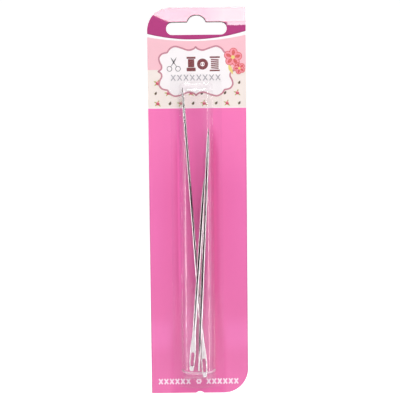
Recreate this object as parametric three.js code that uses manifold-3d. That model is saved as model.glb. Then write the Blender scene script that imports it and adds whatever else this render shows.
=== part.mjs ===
/*
A carded pack of three long bodkins, as it hangs on a shop's peg.

A tall board carries a clear, thermoformed blister on its face. Three bodkins lie loose between
the blister and the board, with their eyes at the bottom, each of another size: the longest against
the board, the shortest at its left in front of it, and the third between them, turned on edge. The
board's top is creased back along the top of the hanging slot, where the slot leaves it weak.

Millimetres. X runs to the right, Y to the back and Z up. Inside this file the board's front face
lies in the plane Y = 0 and its bottom edge at Z = 0. The exported group is moved so that its
origin is where the peg bears: the top of the slot's hump, halfway through the board.
*/
import * as THREE from 'three';
import { mergeVertices } from 'three/addons/utils/BufferGeometryUtils.js';
import Module from 'manifold-3d';

const wasm = await Module();
wasm.setup();

// Bodkins
const LONG_LENGTH = 152.4;
const LONG_SHANK_DIAMETER = 2.3;
const LONG_WAIST_DIAMETER = 1.6;
const MIDDLE_LENGTH = 127;
const LEFT_LENGTH = 101.6;
const SHORT_SHANK_DIAMETER = 2.1;
const SHORT_WAIST_DIAMETER = 2.0;
const HEAD_WIDTH = 3.2;
const HEAD_THICKNESS = 1.2;
const HEAD_LENGTH = 12;
const HEEL_WIDTH = 2.3;
const HEEL_ROUNDING = 0.9;
const EYE_LENGTH = 7.2;
const EYE_WIDTH = 1.7;
const EYE_TO_HEEL = 2.9;
const GUTTER_LENGTH = 4.5;
const GUTTER_WIDTH = 0.9;
const GUTTER_DEPTH = 0.18;
const NECK_LENGTH = 10;
const WAIST_SHARE = 0.6;
const POINT_LENGTH = 13;
const POINT_DIAMETER = 0.5;

// Clearances between the bodkins and what is round them, and how far two lie above their lowest rest
const REST_GAP = 0.3;
const LEFT_LIFT = 1.9;
const MIDDLE_LIFT = 1.6;
const LAYER_GAP = 0.6;
const ROOF_GAP = 0.45;
const POINT_PLAY = 1.6;
const LEFT_MARGIN = 2.6;
const LEFT_TO_MIDDLE_GAP = 1.6;
const MIDDLE_TO_LONG_GAP = 1.1;
const RIGHT_MARGIN = 3.0;

// Where the points lie, from the foot of the nearest side wall and from the board
const LONG_POINT_FROM_LEFT = 0.95;
const LEFT_POINT_FROM_RIGHT = 3.95;
const MIDDLE_POINT_FROM_RIGHT = 1.6;
const LEFT_POINT_DEPTH = 5.0;
const MIDDLE_POINT_DEPTH = 1.4;

// Blister
const FILM = 0.3;
const DRAFT = THREE.MathUtils.degToRad(8);
const ROOF_RADIUS = 4;
const FOOT_RADIUS = 0.5;
const DOME_CORNER = 2.2;
const ROOF_CORNER = 0.8;
const FLANGE_SIDE = 5.1;
const FLANGE_END = 5.2;
const FLANGE_CORNER = 3;
const FLANGE_BOW = 1.1;
const BLISTER_OFFSET = -0.6;

// Board
const CARD_WIDTH = 50.8;
const CARD_THICKNESS = 0.5;
const CARD_CORNER = 12.7;
const CARD_BELOW_BLISTER = 2.5;
const CARD_ABOVE_BLISTER = 26;
const NOTCH_WIDTH = 4;
const NOTCH_DEPTH = 0.9;
const STRIP_LENGTH = 8.5;
const STRIP_TILT = THREE.MathUtils.degToRad(25);
const CREASE_RADIUS = 2.5;

// Hanging slot
const SLOT_WIDTH = 31.2;
const SLOT_HEIGHT = 6.3;
const HUMP_CHORD = 9.4;
const HUMP_RISE = 3.9;

// Fineness
const SIDES = 20;
const CORNER_STEPS = 6;
const ARC_STEPS = 8;
const CURVE_STEPS = 10;
const CUT_MARGIN = 2;

// The inside of the dome, worked out from what lies in it
const CAVITY_DEPTH = REST_GAP + LONG_SHANK_DIAMETER + LAYER_GAP + HEAD_WIDTH + ROOF_GAP;
const LEFT_HEEL_X = LEFT_MARGIN + HEAD_WIDTH / 2;
const MIDDLE_HEEL_X = LEFT_HEEL_X + HEAD_WIDTH / 2 + LEFT_TO_MIDDLE_GAP + HEAD_THICKNESS / 2;
const LONG_HEEL_X = MIDDLE_HEEL_X + HEAD_THICKNESS / 2 + MIDDLE_TO_LONG_GAP + HEAD_WIDTH / 2;
const CAVITY_WIDTH = LONG_HEEL_X + HEAD_WIDTH / 2 + RIGHT_MARGIN;
const CAVITY_LEFT = BLISTER_OFFSET - CAVITY_WIDTH / 2;
const CAVITY_BOTTOM = CARD_BELOW_BLISTER + FLANGE_END + FILM;
const ROOF_CENTRE_DEPTH = CAVITY_DEPTH - ROOF_RADIUS;
const ROOF_CENTRE_INSET = (ROOF_RADIUS + ROOF_CENTRE_DEPTH * Math.sin(DRAFT)) / Math.cos(DRAFT);
const FOOT_CENTRE_DEPTH = FILM + FOOT_RADIUS;
const FOOT_CENTRE_INSET = (FOOT_CENTRE_DEPTH * Math.sin(DRAFT) - FOOT_RADIUS - FILM) / Math.cos(DRAFT);

// Height of each bodkin's heel, depth of its axis there, and where its point is
const LONG_DEPTH = REST_GAP + LONG_SHANK_DIAMETER / 2;
const LEFT_DEPTH = CAVITY_DEPTH - ROOF_GAP - HEAD_THICKNESS / 2;
const MIDDLE_DEPTH = CAVITY_DEPTH - ROOF_GAP - HEAD_WIDTH / 2;
const LONG_LAY = {
  heel: inCavity(LONG_HEEL_X, LONG_DEPTH, heelHeight(LONG_DEPTH + HEAD_THICKNESS / 2)),
  pointX: CAVITY_LEFT + LONG_POINT_FROM_LEFT,
  pointDepth: LONG_DEPTH,
  length: LONG_LENGTH,
};
const LEFT_LAY = {
  heel: inCavity(LEFT_HEEL_X, LEFT_DEPTH, heelHeight(LEFT_DEPTH + HEAD_THICKNESS / 2) + LEFT_LIFT),
  pointX: CAVITY_LEFT + CAVITY_WIDTH - LEFT_POINT_FROM_RIGHT,
  pointDepth: LEFT_POINT_DEPTH,
  length: LEFT_LENGTH,
};
const MIDDLE_LAY = {
  heel: inCavity(MIDDLE_HEEL_X, MIDDLE_DEPTH, heelHeight(MIDDLE_DEPTH + HEAD_WIDTH / 2) + MIDDLE_LIFT),
  pointX: CAVITY_LEFT + CAVITY_WIDTH - MIDDLE_POINT_FROM_RIGHT,
  pointDepth: MIDDLE_POINT_DEPTH,
  length: MIDDLE_LENGTH,
};

// The dome ends above the longest point, and the board's crease follows the blister's top
const LONG_POINT = pointOf(LONG_LAY);
const CAVITY_TOP = LONG_POINT.z + POINT_PLAY + wallInset(LONG_DEPTH + POINT_DIAMETER / 2);
const FLANGE_TOP = CAVITY_TOP + FILM + FLANGE_END;
const CREASE_HEIGHT = FLANGE_TOP + CARD_ABOVE_BLISTER;

// The creased strip at the board's top
const STRIP_START = {
  y: (CARD_THICKNESS + CREASE_RADIUS) * (1 - Math.cos(STRIP_TILT)),
  z: CREASE_HEIGHT + (CARD_THICKNESS + CREASE_RADIUS) * Math.sin(STRIP_TILT),
};
const STRIP_STRAIGHT = STRIP_LENGTH - (CARD_THICKNESS + CREASE_RADIUS) * STRIP_TILT;
const CARD_TOP = STRIP_START.z + STRIP_STRAIGHT * Math.cos(STRIP_TILT);
const HUMP_TOP = CREASE_HEIGHT + HUMP_RISE * Math.cos(STRIP_TILT);
const PEG_SEAT = {
  y: STRIP_START.y + (HUMP_TOP - STRIP_START.z) * Math.tan(STRIP_TILT)
    + CARD_THICKNESS / 2 / Math.cos(STRIP_TILT),
  z: HUMP_TOP,
};

// Frames for outlines: one drawn on the board's face, one on its side
const FACE = new THREE.Matrix4().makeBasis(
  new THREE.Vector3(1, 0, 0),
  new THREE.Vector3(0, 0, 1),
  new THREE.Vector3(0, -1, 0),
);
const SIDE = new THREE.Matrix4().makeBasis(
  new THREE.Vector3(0, 1, 0),
  new THREE.Vector3(0, 0, 1),
  new THREE.Vector3(1, 0, 0),
);

const printedBoard = new THREE.MeshStandardMaterial({ color: 0xf07cb6, roughness: 0.4, metalness: 0 });
const clearFilm = new THREE.MeshStandardMaterial({
  color: 0xf6e4ee,
  roughness: 0.08,
  metalness: 0,
  transparent: true,
  opacity: 0.3,
});
const nickelledSteel = new THREE.MeshStandardMaterial({ color: 0xc8c9cc, roughness: 0.25, metalness: 1 });

// A place inside the cavity, from its left foot, the board's face and the board's bottom edge
function inCavity(fromLeft, depth, height) {
  return new THREE.Vector3(CAVITY_LEFT + fromLeft, -depth, height);
}

// How far the cavity's wall has leaned inwards at a depth in front of the board
function wallInset(depth) {
  const tangentDepth = ROOF_CENTRE_DEPTH + ROOF_RADIUS * Math.sin(DRAFT);
  if (depth <= tangentDepth) {
    return depth * Math.tan(DRAFT);
  }
  const above = Math.min(depth - ROOF_CENTRE_DEPTH, ROOF_RADIUS);
  return ROOF_CENTRE_INSET - Math.sqrt(ROOF_RADIUS ** 2 - above ** 2);
}

// A heel rests on the cavity's end wall, at the depth of its front face
function heelHeight(frontDepth) {
  return CAVITY_BOTTOM + wallInset(frontDepth) + REST_GAP;
}

function pointOf(lay) {
  const across = lay.pointX - lay.heel.x;
  const forward = -lay.pointDepth - lay.heel.y;
  const up = Math.sqrt(lay.length ** 2 - across ** 2 - forward ** 2);
  return new THREE.Vector3(lay.pointX, -lay.pointDepth, lay.heel.z + up);
}

function toSolid(geometry) {
  const bare = geometry.clone();
  bare.deleteAttribute('normal');
  bare.deleteAttribute('uv');
  const merged = mergeVertices(bare);
  return new wasm.Manifold(new wasm.Mesh({
    numProp: 3,
    vertProperties: new Float32Array(merged.attributes.position.array),
    triVerts: new Uint32Array(merged.index.array),
  }));
}

function toGeometry(solid) {
  const mesh = solid.getMesh();
  const geometry = new THREE.BufferGeometry();
  geometry.setAttribute('position', new THREE.BufferAttribute(mesh.vertProperties, mesh.numProp));
  geometry.setIndex(new THREE.BufferAttribute(mesh.triVerts, 1));
  geometry.computeVertexNormals();
  return geometry;
}

// A closed body through rings of equally many points, which turn anticlockwise seen from its end
function loft(rings) {
  const count = rings[0].length;
  const points = rings.flat();
  const faces = [];
  for (let ring = 0; ring < rings.length - 1; ring += 1) {
    for (let side = 0; side < count; side += 1) {
      const next = (side + 1) % count;
      const low = ring * count;
      const high = low + count;
      faces.push(low + side, low + next, high + next);
      faces.push(low + side, high + next, high + side);
    }
  }
  const last = (rings.length - 1) * count;
  for (let side = 1; side < count - 1; side += 1) {
    faces.push(0, side + 1, side);
    faces.push(last, last + side, last + side + 1);
  }
  const geometry = new THREE.BufferGeometry().setFromPoints(points);
  geometry.setIndex(faces);
  return geometry;
}

// An outline of the board's face, made solid between two depths in front of it
function slab(shape, nearDepth, farDepth) {
  const geometry = new THREE.ExtrudeGeometry(shape, {
    depth: farDepth - nearDepth,
    bevelEnabled: false,
    curveSegments: CURVE_STEPS,
  });
  geometry.translate(0, 0, nearDepth);
  geometry.applyMatrix4(FACE);
  return toSolid(geometry);
}

// The board's edge seen from its side: flat, then creased back by the tilt, then straight
function boardSide() {
  const centreY = CARD_THICKNESS + CREASE_RADIUS;
  const alongY = Math.sin(STRIP_TILT) * STRIP_STRAIGHT;
  const throughY = Math.cos(STRIP_TILT) * CARD_THICKNESS;
  const throughZ = -Math.sin(STRIP_TILT) * CARD_THICKNESS;
  const shape = new THREE.Shape();
  shape.moveTo(0, 0);
  shape.lineTo(0, CREASE_HEIGHT);
  shape.absarc(centreY, CREASE_HEIGHT, centreY, Math.PI, Math.PI - STRIP_TILT, true);
  shape.lineTo(STRIP_START.y + alongY, CARD_TOP);
  shape.lineTo(STRIP_START.y + alongY + throughY, CARD_TOP + throughZ);
  shape.absarc(centreY, CREASE_HEIGHT, CREASE_RADIUS, Math.PI - STRIP_TILT, Math.PI, false);
  shape.lineTo(CARD_THICKNESS, 0);
  return shape;
}

// The board's face: top left and bottom right corners round, and a nick in the bottom edge
function boardFace() {
  const half = CARD_WIDTH / 2;
  const nickRadius = ((NOTCH_WIDTH / 2) ** 2 + NOTCH_DEPTH ** 2) / 2 / NOTCH_DEPTH;
  const nickCentre = NOTCH_DEPTH - nickRadius;
  const nickAngle = Math.atan2(-nickCentre, NOTCH_WIDTH / 2);
  const shape = new THREE.Shape();
  shape.moveTo(half, CARD_TOP + CUT_MARGIN);
  shape.lineTo(CARD_CORNER - half, CARD_TOP + CUT_MARGIN);
  shape.absarc(CARD_CORNER - half, CARD_TOP - CARD_CORNER, CARD_CORNER, Math.PI / 2, Math.PI, false);
  shape.lineTo(-half, 0);
  shape.absarc(0, nickCentre, nickRadius, Math.PI - nickAngle, nickAngle, true);
  shape.absarc(half - CARD_CORNER, CARD_CORNER, CARD_CORNER, -Math.PI / 2, 0, false);
  return shape;
}

// The hanging slot: round ends, and a hump on its top edge in which a round peg centres itself
function hangingSlot() {
  const endRadius = SLOT_HEIGHT / 2;
  const straight = SLOT_WIDTH / 2 - endRadius;
  const middle = CREASE_HEIGHT - endRadius;
  const rise = HUMP_TOP - CREASE_HEIGHT;
  const humpRadius = ((HUMP_CHORD / 2) ** 2 + rise ** 2) / 2 / rise;
  const humpCentre = HUMP_TOP - humpRadius;
  const humpAngle = Math.atan2(CREASE_HEIGHT - humpCentre, HUMP_CHORD / 2);
  const shape = new THREE.Shape();
  shape.absarc(straight, middle, endRadius, -Math.PI / 2, Math.PI / 2, false);
  shape.absarc(0, humpCentre, humpRadius, humpAngle, Math.PI - humpAngle, false);
  shape.absarc(-straight, middle, endRadius, Math.PI / 2, Math.PI * 1.5, false);
  return shape;
}

function makeBoard() {
  const depth = STRIP_START.y + STRIP_STRAIGHT * Math.sin(STRIP_TILT) + CARD_THICKNESS + CUT_MARGIN;
  const sheet = new THREE.ExtrudeGeometry(boardSide(), {
    depth: CARD_WIDTH + 2 * CUT_MARGIN,
    bevelEnabled: false,
    curveSegments: CURVE_STEPS,
  });
  sheet.translate(0, 0, -CARD_WIDTH / 2 - CUT_MARGIN);
  sheet.applyMatrix4(SIDE);
  const cut = toSolid(sheet)
    .intersect(slab(boardFace(), -depth, CUT_MARGIN))
    .subtract(slab(hangingSlot(), -depth, CUT_MARGIN));
  return new THREE.Mesh(toGeometry(cut), printedBoard);
}

// The wall of the dome in inset and depth: a small foot curve, a drafted wall and a round shoulder.
// An offset of 0 gives the inside and an offset of FILM the outside.
function domeWall(offset) {
  const wall = [];
  const footRadius = FOOT_RADIUS + FILM - offset;
  for (let step = 0; step <= ARC_STEPS / 2; step += 1) {
    const angle = THREE.MathUtils.lerp(-Math.PI / 2, -DRAFT, step / (ARC_STEPS / 2));
    wall.push({
      inset: FOOT_CENTRE_INSET + footRadius * Math.cos(angle),
      depth: FOOT_CENTRE_DEPTH + footRadius * Math.sin(angle),
    });
  }
  for (let step = 0; step <= ARC_STEPS; step += 1) {
    const angle = THREE.MathUtils.lerp(DRAFT, Math.PI / 2, step / ARC_STEPS);
    wall.push({
      inset: ROOF_CENTRE_INSET - (ROOF_RADIUS + offset) * Math.cos(angle),
      depth: ROOF_CENTRE_DEPTH + (ROOF_RADIUS + offset) * Math.sin(angle),
    });
  }
  return wall;
}

// One level of the dome: a round-cornered rectangle that the walls' inset draws in
function domeRing(inset, depth) {
  const halfWidth = CAVITY_WIDTH / 2 - inset;
  const halfHeight = (CAVITY_TOP - CAVITY_BOTTOM) / 2 - inset;
  const corner = THREE.MathUtils.lerp(DOME_CORNER, ROOF_CORNER, inset / ROOF_CENTRE_INSET);
  const centreZ = (CAVITY_TOP + CAVITY_BOTTOM) / 2;
  const ring = [];
  for (let quarter = 0; quarter < 4; quarter += 1) {
    const right = quarter === 0 || quarter === 3 ? 1 : -1;
    const up = quarter < 2 ? 1 : -1;
    for (let step = 0; step <= CORNER_STEPS; step += 1) {
      const angle = (quarter + step / CORNER_STEPS) * Math.PI / 2;
      ring.push(new THREE.Vector3(
        BLISTER_OFFSET + right * (halfWidth - corner) + corner * Math.cos(angle),
        centreZ + up * (halfHeight - corner) + corner * Math.sin(angle),
        depth,
      ));
    }
  }
  return ring;
}

function domeSolid(offset, startDepth) {
  const wall = domeWall(offset);
  const start = { inset: wall[0].inset, depth: startDepth };
  const rings = [start, ...wall].map((level) => domeRing(level.inset, level.depth));
  return toSolid(loft(rings).applyMatrix4(FACE));
}

// The flange: round corners, with its top and bottom edges bowed outwards
function flangeFace() {
  const half = CAVITY_WIDTH / 2 + FILM + FLANGE_SIDE;
  const left = BLISTER_OFFSET - half;
  const right = BLISTER_OFFSET + half;
  const low = CARD_BELOW_BLISTER + FLANGE_BOW;
  const high = FLANGE_TOP - FLANGE_BOW;
  const r = FLANGE_CORNER;
  const shape = new THREE.Shape();
  shape.moveTo(left, low + r);
  shape.quadraticCurveTo(left, low, left + r, low);
  shape.quadraticCurveTo(BLISTER_OFFSET, low - 2 * FLANGE_BOW, right - r, low);
  shape.quadraticCurveTo(right, low, right, low + r);
  shape.lineTo(right, high - r);
  shape.quadraticCurveTo(right, high, right - r, high);
  shape.quadraticCurveTo(BLISTER_OFFSET, high + 2 * FLANGE_BOW, left + r, high);
  shape.quadraticCurveTo(left, high, left, high - r);
  return shape;
}

function makeBlister() {
  const shell = slab(flangeFace(), 0, FILM)
    .add(domeSolid(FILM, FILM / 2))
    .subtract(domeSolid(0, -CUT_MARGIN));
  return new THREE.Mesh(toGeometry(shell), clearFilm);
}

// A bodkin's half width and half thickness at a distance from its heel, and how square it is
function bodkinSection(along, gauge) {
  const { smoothstep, lerp } = THREE.MathUtils;
  const waist = smoothstep(along, HEAD_LENGTH + NECK_LENGTH, gauge.length * WAIST_SHARE);
  const shank = lerp(gauge.shank, gauge.waist, waist) / 2;
  const flat = 1 - smoothstep(along, HEAD_LENGTH - NECK_LENGTH / 4, HEAD_LENGTH + NECK_LENGTH);
  const swell = smoothstep(along, 0, EYE_TO_HEEL + EYE_LENGTH / 2);
  const head = lerp(HEEL_WIDTH, HEAD_WIDTH, swell) / 2;
  const toPoint = Math.max(0, (along - gauge.length + POINT_LENGTH) / POINT_LENGTH);
  const slender = Math.cos(toPoint * Math.PI / 2);
  return {
    halfWidth: lerp(POINT_DIAMETER / 2, lerp(shank, head, flat), slender),
    halfThickness: lerp(POINT_DIAMETER / 2, lerp(shank, HEAD_THICKNESS / 2, flat), slender),
    power: lerp(2, 3, flat),
  };
}

function bodkinRing(along, gauge, shrink) {
  const section = bodkinSection(along, gauge);
  const ring = [];
  for (let side = 0; side < SIDES; side += 1) {
    const angle = side / SIDES * Math.PI * 2;
    const x = Math.abs(Math.cos(angle)) ** (2 / section.power) * Math.sign(Math.cos(angle));
    const y = Math.abs(Math.sin(angle)) ** (2 / section.power) * Math.sign(Math.sin(angle));
    ring.push(new THREE.Vector3(
      x * section.halfWidth * shrink,
      y * section.halfThickness * shrink,
      along,
    ));
  }
  return ring;
}

// The body of a bodkin along Z: a rounded heel, the flat head, the shank and a blunt point
function bodkinBody(gauge) {
  const nose = POINT_DIAMETER / 2;
  const stretches = [
    { from: HEEL_ROUNDING, to: HEAD_LENGTH + NECK_LENGTH, steps: 16 },
    { from: HEAD_LENGTH + NECK_LENGTH, to: gauge.length - POINT_LENGTH, steps: 6 },
    { from: gauge.length - POINT_LENGTH, to: gauge.length - nose, steps: 8 },
  ];
  const rings = [];
  for (let step = 1; step < 4; step += 1) {
    const angle = step / 4 * Math.PI / 2;
    rings.push(bodkinRing(HEEL_ROUNDING * (1 - Math.cos(angle)), gauge, Math.sin(angle)));
  }
  for (const { from, to, steps } of stretches) {
    for (let step = 0; step < steps; step += 1) {
      rings.push(bodkinRing(THREE.MathUtils.lerp(from, to, step / steps), gauge, 1));
    }
  }
  for (let step = 0; step < 4; step += 1) {
    const angle = step / 4 * Math.PI / 2;
    rings.push(bodkinRing(gauge.length - nose + nose * Math.sin(angle), gauge, Math.cos(angle)));
  }
  return toSolid(loft(rings));
}

// The eye, cut through the head's flat faces
function eyeCutter() {
  const radius = EYE_WIDTH / 2;
  const shape = new THREE.Shape();
  shape.absarc(0, EYE_TO_HEEL + radius, radius, Math.PI, Math.PI * 2, false);
  shape.absarc(0, EYE_TO_HEEL + EYE_LENGTH - radius, radius, 0, Math.PI, false);
  return slab(shape, -HEAD_THICKNESS, HEAD_THICKNESS);
}

// The gutter that leads the thread into the eye: a shallow spindle laid on one flat face
function gutterCutter(face, gauge) {
  const middle = EYE_TO_HEEL + EYE_LENGTH;
  const belly = GUTTER_WIDTH / 2;
  const shape = new THREE.Shape();
  shape.absellipse(0, 0, belly, GUTTER_LENGTH, -Math.PI / 2, Math.PI / 2, false);
  const outline = shape.getPoints(CURVE_STEPS);
  outline[0].x = 0;
  outline[outline.length - 1].x = 0;
  const spindle = new THREE.LatheGeometry(outline, CURVE_STEPS);
  spindle.rotateX(Math.PI / 2);
  const surface = bodkinSection(middle + GUTTER_LENGTH / 2, gauge).halfThickness;
  spindle.translate(0, face * (surface + belly - GUTTER_DEPTH), middle);
  return toSolid(spindle);
}

// A bodkin laid from its heel to its point, turned about its own axis by a roll
function makeBodkin(name, gauge, lay, roll) {
  const body = bodkinBody(gauge)
    .subtract(eyeCutter())
    .subtract(gutterCutter(1, gauge))
    .subtract(gutterCutter(-1, gauge));
  const mesh = new THREE.Mesh(toGeometry(body), nickelledSteel);
  const axis = pointOf(lay).sub(lay.heel).normalize();
  const back = new THREE.Vector3().crossVectors(axis, new THREE.Vector3(1, 0, 0)).normalize();
  const across = new THREE.Vector3().crossVectors(back, axis);
  mesh.quaternion.setFromRotationMatrix(new THREE.Matrix4().makeBasis(across, back, axis));
  mesh.rotateZ(roll);
  mesh.position.copy(lay.heel);
  mesh.name = name;
  return mesh;
}

const longGauge = { length: LONG_LENGTH, shank: LONG_SHANK_DIAMETER, waist: LONG_WAIST_DIAMETER };
const leftGauge = { length: LEFT_LENGTH, shank: SHORT_SHANK_DIAMETER, waist: SHORT_WAIST_DIAMETER };
const middleGauge = { length: MIDDLE_LENGTH, shank: SHORT_SHANK_DIAMETER, waist: SHORT_WAIST_DIAMETER };

const board = makeBoard();
board.name = 'backing_card';
const blister = makeBlister();
blister.name = 'blister';

const pack = new THREE.Group();
pack.add(board);
pack.add(blister);
pack.add(makeBodkin('long_bodkin', longGauge, LONG_LAY, 0));
pack.add(makeBodkin('left_bodkin', leftGauge, LEFT_LAY, 0));
pack.add(makeBodkin('middle_bodkin', middleGauge, MIDDLE_LAY, Math.PI / 2));
pack.position.set(0, -PEG_SEAT.y, -PEG_SEAT.z);

export default pack;
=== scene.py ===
"""A carded pack of three bodkins, dressed over its CAD frame.

Lengths are millimetres until a point is placed, and blender's units are metres. X runs to the
right, Y to the back and Z up. A place on the board is given by its distance across from the
board's middle and its height above the board's bottom edge; depth is how far in front of the
board's face a point lies.
"""
from math import acos, asin, copysign, cos, degrees, hypot, pi, radians, sin, sqrt

import bmesh
import bpy
from mathutils import Matrix, Vector, noise


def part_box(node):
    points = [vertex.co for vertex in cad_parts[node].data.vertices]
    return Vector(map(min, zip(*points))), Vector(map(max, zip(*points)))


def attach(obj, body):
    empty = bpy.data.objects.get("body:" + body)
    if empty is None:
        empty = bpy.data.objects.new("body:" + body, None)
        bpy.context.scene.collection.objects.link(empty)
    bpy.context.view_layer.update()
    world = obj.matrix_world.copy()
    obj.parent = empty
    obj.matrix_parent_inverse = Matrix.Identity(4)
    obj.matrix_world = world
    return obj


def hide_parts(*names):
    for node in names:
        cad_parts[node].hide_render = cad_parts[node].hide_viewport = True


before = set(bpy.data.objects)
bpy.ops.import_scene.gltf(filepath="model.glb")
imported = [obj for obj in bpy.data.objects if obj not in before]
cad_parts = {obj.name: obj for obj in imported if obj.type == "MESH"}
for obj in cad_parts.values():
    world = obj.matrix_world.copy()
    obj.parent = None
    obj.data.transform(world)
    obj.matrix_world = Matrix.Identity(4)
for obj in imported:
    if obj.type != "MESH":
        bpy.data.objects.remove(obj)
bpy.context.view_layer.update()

MM = 0.001
CARD_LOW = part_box("backing_card")[0]
FACE_Y = CARD_LOW.y / MM
BOTTOM_Z = CARD_LOW.z / MM

# Board
CARD_HALF = 25.4
CARD_THICKNESS = 0.5
CARD_CORNER = 12.7
CREASE_HEIGHT = 193.975
CREASE_START = CREASE_HEIGHT - 0.62
CREASE_RADIUS = 2.5
CREASE_TURN = -13.5
CREASE_SLOPE = 0.5
CREASE_EASE = 1.2
STRIP_TILT = radians(22.9)
CARD_LENGTH = CREASE_HEIGHT + 8.42
NICK_HALF = 2.0
NICK_DEPTH = 0.9
NICK_RADIUS = (NICK_HALF ** 2 + NICK_DEPTH ** 2) / 2 / NICK_DEPTH
SLOT_HALF = 15.6
SLOT_HEIGHT = 6.3
SLOT_END = SLOT_HEIGHT / 2
SLOT_MIDDLE = CREASE_HEIGHT - SLOT_END
SLOT_STRAIGHT = SLOT_HALF - SLOT_END
HUMP_HALF = 4.7
HUMP_RISE = 3.9
HUMP_RADIUS = (HUMP_HALF ** 2 + HUMP_RISE ** 2) / 2 / HUMP_RISE
HUMP_CENTRE = CREASE_HEIGHT + HUMP_RISE - HUMP_RADIUS

# Print: heights at which its bands start, and the level, slope and bend of its arcs
PALE_LOW = 149.9
CREAM_LOW = 150.35
ROSE_LOW = 169.8
WHITE_ARC = (184.47, 0.015, 0.004)
HEADER_ARC = (185.33, 0.0211, 0.0055)

# Blister
FILM = 0.3
FILM_LIFT = 0.09
FILM_IOR = 1.5
DRAFT = radians(8)
DOME_DEPTH = 6.85
DOME_HALF_WIDTH = 7.95
DOME_MIDDLE = -0.6
DOME_LOW = 8.0
DOME_HIGH = 162.475
DOME_CENTRE = (DOME_LOW + DOME_HIGH) / 2
DOME_HALF_HEIGHT = (DOME_HIGH - DOME_LOW) / 2
ROOF_RADIUS = 4
FOOT_RADIUS = 0.5
DOME_CORNER = 2.2
ROOF_CORNER = 0.8
ROOF_CENTRE_DEPTH = DOME_DEPTH - ROOF_RADIUS
ROOF_CENTRE_INSET = (ROOF_RADIUS + ROOF_CENTRE_DEPTH * sin(DRAFT)) / cos(DRAFT)
FOOT_CENTRE_DEPTH = FILM + FOOT_RADIUS
FOOT_CENTRE_INSET = (FOOT_CENTRE_DEPTH * sin(DRAFT) - FOOT_RADIUS - FILM) / cos(DRAFT)
ROOF_SAG = 0.13
FLANGE_SIDE = 5.1
FLANGE_END = 5.2
FLANGE_CORNER = 3
FLANGE_BOW = 1.1

# Bodkins: length, shank and waist diameters, where the heel and the point lie, and the roll
BODKINS = {
    "long": (152.4, 2.3, 1.6, (2.75, 1.45, 8.5881), (-7.6, 1.45, 160.6363), 0),
    "left": (101.6, 2.1, 2.0, (-4.35, 5.8, 12.7966), (3.4, 5.0, 114.0974), 0),
    "middle": (127.0, 2.1, 2.0, (-0.55, 4.8, 12.4966), (5.75, 1.4, 139.2946), 90),
}
HEAD_WIDTH = 3.2
HEAD_THICKNESS = 1.2
HEAD_LENGTH = 12
HEEL_WIDTH = 2.3
HEEL_ROUNDING = 0.9
EYE_LOW = 2.9
EYE_HIGH = 10.1
EYE_RADIUS = 0.85
EYE_FILLET = 0.14
GUTTER_LENGTH = 4.5
GUTTER_HALF = 0.45
GUTTER_DEPTH = 0.18
NECK_LENGTH = 10
NECK_TOP = HEAD_LENGTH + NECK_LENGTH
WAIST_SHARE = 0.6
POINT_LENGTH = 13
POINT_RADIUS = 0.25


def spot(across, depth, height):
    """A place in the frame, in metres, from a place on the board."""
    return Vector((across * MM, (FACE_Y - depth) * MM, (BOTTOM_Z + height) * MM))


def mix(a, b, share):
    return a + (b - a) * share


def steps(start, end, count):
    """Evenly spaced values, both ends among them."""
    return [mix(start, end, step / count) for step in range(count + 1)]


def spaced(values, least):
    """Values in order, without those too near the one before."""
    kept = []
    for value in sorted(values):
        if not kept or value - kept[-1] > least:
            kept.append(value)
    return kept


def smooth(value, low, high):
    share = min(max((value - low) / (high - low), 0), 1)
    return share * share * (3 - 2 * share)


def half_round(radius, rise):
    """Half the width of a circle at a distance from its middle, 0 outside it."""
    return sqrt(max(radius ** 2 - rise ** 2, 0))


def in_scene(name, data):
    thing = bpy.data.objects.new(name, data)
    bpy.context.scene.collection.objects.link(thing)
    return thing


def make_piece(name, points, faces, materials, kinds=None, sharp=40, marks=None):
    """A mesh object, with its doubles merged and its faces turned outwards."""
    mesh = bpy.data.meshes.new(name)
    mesh.from_pydata(points, [], faces)
    for material in materials:
        mesh.materials.append(material)
    if kinds:
        mesh.polygons.foreach_set("material_index", kinds)
    for mark, values in (marks or {}).items():
        mesh.attributes.new(mark, "FLOAT", "POINT").data.foreach_set("value", values)
    work = bmesh.new()
    work.from_mesh(mesh)
    bmesh.ops.remove_doubles(work, verts=work.verts, dist=1e-7)
    bmesh.ops.recalc_face_normals(work, faces=work.faces)
    work.to_mesh(mesh)
    work.free()
    mesh.shade_smooth()
    mesh.set_sharp_from_angle(angle=radians(sharp))
    return in_scene(name, mesh)


# Nodes

SOFT = "SMOOTHSTEP"
WHITE = (1.0, 1.0, 1.0, 1.0)


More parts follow.
